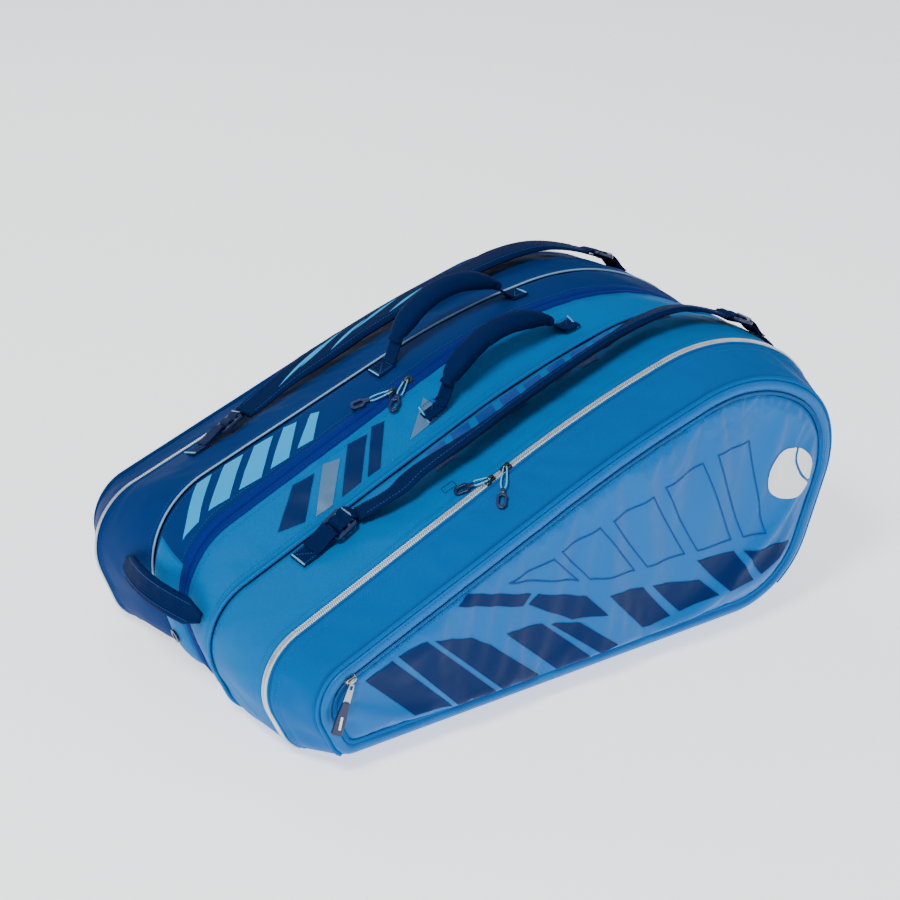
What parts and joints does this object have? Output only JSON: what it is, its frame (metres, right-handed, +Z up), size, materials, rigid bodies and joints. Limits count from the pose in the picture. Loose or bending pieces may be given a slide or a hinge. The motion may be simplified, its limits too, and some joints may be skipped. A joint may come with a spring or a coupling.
{
  "type": "racket tournament bag",
  "caption": "Long racket bag with side-by-side zipped compartments, padded carry handles, shoulder straps with adjusters and a zipped front pocket.",
  "frame": {"origin": "on the floor under the middle of the bag", "axes": "+X from the narrow handle end to the broad head end, -Y out of the front pocket panel, +Z up"},
  "size_m": [0.7607, 0.4942, 0.3801],
  "materials": {
    "sky_fabric": "woven polyester, bright sky blue",
    "satin_fabric": "satin polyester, sky blue",
    "dark_blue_fabric": "woven polyester, dark blue",
    "lining_fabric": "padded lining, navy",
    "silver_zip": "silver coil zip",
    "royal_zip": "royal blue covered zip",
    "navy_zip": "navy coil zip",
    "light_piping": "light piping",
    "navy_webbing": "navy webbing and padded sleeve",
    "navy_plastic": "moulded navy plastic",
    "slider_metal": "dark plated metal",
    "board_plastic": "stiffening board"
  },
  "bodies": {
    "center": {"middle_rear_gusset": "dark_blue_fabric", "back_front_gusset": "dark_blue_fabric", "back_bottom_panel": "dark_blue_fabric", "middle_bottom_strip": "lining_fabric", "rear_divider_panel": "lining_fabric", "middle_zip_far_half": "royal_zip", "rear_zip_near_half": "silver_zip", "rear_seam_piping": "light_piping", "base_board": "board_plastic", "shoe_pocket_cover": "sky_fabric", "vent_eyelet": "slider_metal", "rear_handle_tab_low": "navy_webbing", "rear_handle_tab_high": "navy_webbing", "back_webbing_low": "navy_webbing", "back_webbing_high": "navy_webbing"},
    "front_unit": {"front_rear_gusset": "sky_fabric", "front_bottom_panel": "sky_fabric", "middle_front_gusset": "sky_fabric", "front_divider_panel": "lining_fabric", "front_zip_far_half": "silver_zip", "middle_zip_near_half": "royal_zip", "front_seam_piping": "sky_fabric", "front_handle_tab_low": "navy_webbing", "front_handle_tab_high": "navy_webbing", "front_webbing_low": "navy_webbing", "front_webbing_high": "navy_webbing"},
    "front_lid": {"front_lid_gusset": "sky_fabric", "front_lid_lining": "sky_fabric", "front_panel_rim": "sky_fabric", "front_zip_near_half": "silver_zip", "front_panel_piping": "sky_fabric"},
    "front_pocket": {"front_pocket_panel": "satin_fabric", "pocket_zip_lower_half": "navy_zip"},
    "back_lid": {"back_lid_gusset": "dark_blue_fabric", "back_lid_panel": "dark_blue_fabric", "rear_zip_far_half": "silver_zip", "back_panel_piping": "dark_blue_fabric"},
    "front_handle": {"front_carry_handle": "navy_webbing"},
    "rear_handle": {"rear_carry_handle": "navy_webbing"},
    "end_handle": {"end_grab_handle": "navy_webbing"},
    "front_strap": {"front_shoulder_strap": "navy_webbing", "front_buckle_low": "navy_plastic", "front_buckle_high": "navy_plastic"},
    "back_strap": {"back_shoulder_strap": "navy_webbing", "back_buckle_low": "navy_plastic", "back_buckle_high": "navy_plastic"},
    "front_zip_slider_low": {"front_zip_slider_low": "slider_metal"},
    "front_zip_pull_low": {"front_zip_pull_low": "navy_plastic"},
    "front_zip_slider_high": {"front_zip_slider_high": "slider_metal"},
    "front_zip_pull_high": {"front_zip_pull_high": "navy_plastic"},
    "middle_zip_slider_low": {"middle_zip_slider_low": "slider_metal"},
    "middle_zip_pull_low": {"middle_zip_pull_low": "navy_plastic"},
    "middle_zip_slider_high": {"middle_zip_slider_high": "slider_metal"},
    "middle_zip_pull_high": {"middle_zip_pull_high": "navy_plastic"},
    "rear_zip_slider_low": {"rear_zip_slider_low": "slider_metal"},
    "rear_zip_pull_low": {"rear_zip_pull_low": "navy_plastic"},
    "rear_zip_slider_high": {"rear_zip_slider_high": "slider_metal"},
    "rear_zip_pull_high": {"rear_zip_pull_high": "navy_plastic"},
    "pocket_zip_slider": {"pocket_zip_slider": "slider_metal"},
    "pocket_zip_pull": {"pocket_zip_pull": "slider_metal"}
  },
  "joints": [
    {"name": "front_unit_lean", "type": "hinge", "parent": "center", "child": "front_unit", "pos_m": [0, -0.168, 0], "axis": [-1, 0, 0], "range_deg": [-12, 0]},
    {"name": "front_lid_open", "type": "hinge", "parent": "front_unit", "child": "front_lid", "pos_m": [0, -0.2215, 0.0205], "axis": [-1, 0, 0], "range_deg": [-70, 0]},
    {"name": "front_pocket_open", "type": "hinge", "parent": "front_lid", "child": "front_pocket", "pos_m": [0, -0.2268, 0.04], "axis": [1, 0, 0], "range_deg": [0, 40]},
    {"name": "back_lid_open", "type": "hinge", "parent": "center", "child": "back_lid", "pos_m": [0, 0.2355, 0.0205], "axis": [1, 0, 0], "range_deg": [-70, 0]},
    {"name": "front_handle_tilt", "type": "hinge", "parent": "front_unit", "child": "front_handle", "pos_m": [-0.06048, -0.04445, 0.28593], "axis": [0.9538, 0.0053, 0.3004], "range_deg": [-30, 60]},
    {"name": "rear_handle_tilt", "type": "hinge", "parent": "center", "child": "rear_handle", "pos_m": [-0.0687, 0.04436, 0.30554], "axis": [0.9665, 0.0022, 0.2566], "range_deg": [-57, 30]},
    {"name": "end_handle_swing", "type": "hinge", "parent": "center", "child": "end_handle", "pos_m": [-0.36495, -0.052, 0.12031], "axis": [-0.0466, 0.9989, -0.0089], "range_deg": [-35, 35]},
    {"name": "front_strap_lift", "type": "hinge", "parent": "front_unit", "child": "front_strap", "pos_m": [-0.23694, -0.09209, 0.19482], "axis": [0.977, -0.0362, 0.21], "range_deg": [0, 16]},
    {"name": "back_strap_lift", "type": "hinge", "parent": "center", "child": "back_strap", "pos_m": [-0.23644, 0.1391, 0.22196], "axis": [0.9871, -0.0006, 0.1602], "range_deg": [0, 10]},
    {"name": "front_zip_slider_low_run", "type": "slide", "parent": "front_lid", "child": "front_zip_slider_low", "axis": [-0.9167, 0, -0.3996], "range_m": [0, 0.18]},
    {"name": "front_zip_pull_low_lift", "type": "hinge", "parent": "front_zip_slider_low", "child": "front_zip_pull_low", "pos_m": [-0.09587, -0.16199, 0.24532], "axis": [0.2461, 0.8808, 0.4045], "range_deg": [0, 110]},
    {"name": "front_zip_slider_high_run", "type": "slide", "parent": "front_lid", "child": "front_zip_slider_high", "axis": [0.9275, -0.0022, 0.3737], "range_m": [0, 0.09]},
    {"name": "front_zip_pull_high_lift", "type": "hinge", "parent": "front_zip_slider_high", "child": "front_zip_pull_high", "pos_m": [-0.07111, -0.17268, 0.25235], "axis": [-0.7081, 0.7028, -0.0683], "range_deg": [0, 110]},
    {"name": "middle_zip_slider_low_run", "type": "slide", "parent": "front_unit", "child": "middle_zip_slider_low", "axis": [-0.9162, 0, -0.4007], "range_m": [0, 0.18]},
    {"name": "middle_zip_pull_low_lift", "type": "hinge", "parent": "middle_zip_slider_low", "child": "middle_zip_pull_low", "pos_m": [-0.10715, 0.00436, 0.28384], "axis": [0.2083, 0.9146, 0.3467], "range_deg": [0, 110]},
    {"name": "middle_zip_slider_high_run", "type": "slide", "parent": "front_unit", "child": "middle_zip_slider_high", "axis": [0.9257, -0.0023, 0.3783], "range_m": [0, 0.06]},
    {"name": "middle_zip_pull_high_lift", "type": "hinge", "parent": "middle_zip_slider_high", "child": "middle_zip_pull_high", "pos_m": [-0.08631, -0.00501, 0.29016], "axis": [-0.5074, 0.8616, 0.01], "range_deg": [0, 110]},
    {"name": "rear_zip_slider_low_run", "type": "slide", "parent": "back_lid", "child": "rear_zip_slider_low", "axis": [-0.9435, 0, -0.3314], "range_m": [0, 0.18]},
    {"name": "rear_zip_pull_low_lift", "type": "hinge", "parent": "rear_zip_slider_low", "child": "rear_zip_pull_low", "pos_m": [-0.10575, 0.18323, 0.24879], "axis": [0.4106, 0.8867, -0.2127], "range_deg": [0, 110]},
    {"name": "rear_zip_slider_high_run", "type": "slide", "parent": "back_lid", "child": "rear_zip_slider_high", "axis": [0.9434, 0.0025, 0.3316], "range_m": [0, 0.09]},
    {"name": "rear_zip_pull_high_lift", "type": "hinge", "parent": "rear_zip_slider_high", "child": "rear_zip_pull_high", "pos_m": [-0.08198, 0.18529, 0.25644], "axis": [0.6863, 0.7256, -0.0509], "range_deg": [0, 110]},
    {"name": "pocket_zip_slider_run", "type": "slide", "parent": "front_pocket", "child": "pocket_zip_slider", "axis": [0.8511, 0, 0.525], "range_m": [0, 0.23]},
    {"name": "pocket_zip_pull_lift", "type": "hinge", "parent": "pocket_zip_slider", "child": "pocket_zip_pull", "pos_m": [-0.2995, -0.2342, 0.1037], "axis": [-0.866, 0, 0.5], "range_deg": [0, 90]}
  ]
}
